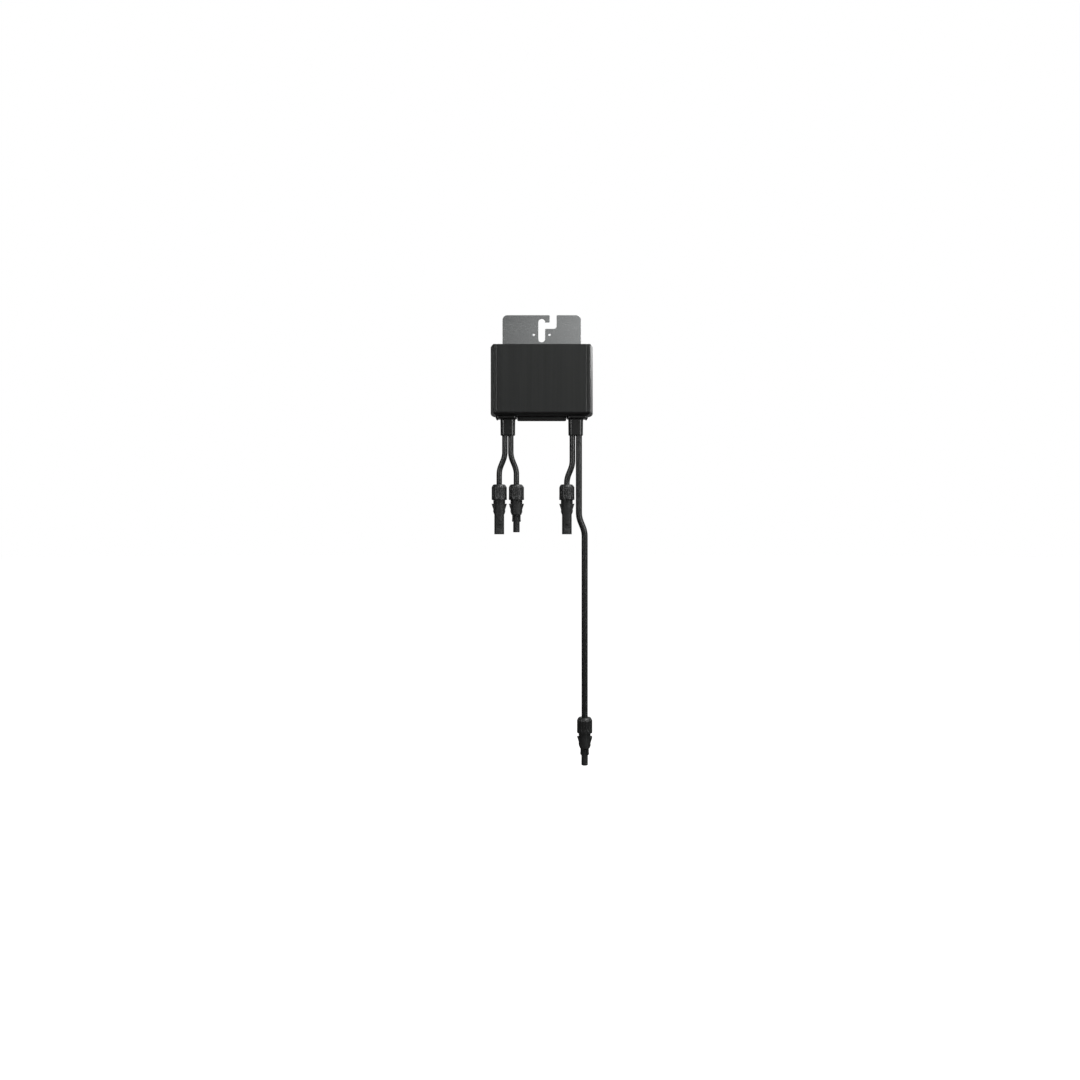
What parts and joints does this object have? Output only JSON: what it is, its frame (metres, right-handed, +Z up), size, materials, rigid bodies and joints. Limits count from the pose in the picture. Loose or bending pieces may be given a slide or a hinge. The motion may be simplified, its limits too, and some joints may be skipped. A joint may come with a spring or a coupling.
{
  "type": "power optimizer",
  "caption": "Flat black box on a steel hook bracket, with paired input and output leads below that end in round plug-in couplings; converts a solar module's output.",
  "frame": {"origin": "centre of the upper end of the bracket's hook slot, on the bracket's back face", "axes": "+Z up as it hangs, +Y out of the bracket's back towards the rail, +X to the right seen from the front"},
  "size_m": [0.129, 0.03, 0.5697],
  "materials": {
    "bracket_steel": "satin sheet steel",
    "rivet_steel": "flush steel rivets",
    "black_anodised_aluminium": "black anodised, brushed along the extrusion",
    "cap_plastic": "moulded black plastic",
    "boot_rubber": "moulded black rubber",
    "cable_sheath": "extruded black sheath",
    "coupling_plastic": "moulded black plastic",
    "contact_tin": "tin-plated copper",
    "seal_rubber": "moulded black rubber",
    "board_laminate": "green glass laminate",
    "pad_silicone": "soft filled silicone",
    "core_ferrite": "sintered ferrite",
    "winding_copper": "enamelled copper wire",
    "capacitor_can": "sleeved aluminium can",
    "capacitor_film": "moulded film capacitor box",
    "chip_package": "moulded epoxy package"
  },
  "bodies": {
    "root": {"bracket": "bracket_steel", "bracket_rivets": "rivet_steel", "housing_sleeve": "black_anodised_aluminium", "top_cap": "cap_plastic", "top_seal": "seal_rubber", "bottom_cap": "cap_plastic", "bottom_seal": "seal_rubber", "input_boot": "boot_rubber", "output_boot": "boot_rubber", "circuit_board": "board_laminate", "thermal_pad": "pad_silicone", "inductor_core": "core_ferrite", "inductor_winding": "winding_copper", "input_capacitors": "capacitor_can", "output_capacitors": "capacitor_film", "power_switches": "chip_package", "control_chips": "chip_package", "line_transformer": "core_ferrite", "lead_terminals": "contact_tin", "input_left_cable": "cable_sheath", "input_left_nut": "coupling_plastic", "input_left_clamp_ring": "coupling_plastic", "input_left_cable_seal": "seal_rubber", "input_left_housing": "coupling_plastic", "input_left_contact": "contact_tin", "input_right_cable": "cable_sheath", "input_right_nut": "coupling_plastic", "input_right_clamp_ring": "coupling_plastic", "input_right_cable_seal": "seal_rubber", "input_right_housing": "coupling_plastic", "input_right_contact": "contact_tin", "input_right_o_ring": "seal_rubber", "output_short_cable": "cable_sheath", "output_short_nut": "coupling_plastic", "output_short_clamp_ring": "coupling_plastic", "output_short_cable_seal": "seal_rubber", "output_short_housing": "coupling_plastic", "output_short_contact": "contact_tin", "output_long_cable": "cable_sheath", "output_long_nut": "coupling_plastic", "output_long_clamp_ring": "coupling_plastic", "output_long_cable_seal": "seal_rubber", "output_long_housing": "coupling_plastic", "output_long_contact": "contact_tin", "output_long_o_ring": "seal_rubber"}
  },
  "joints": []
}
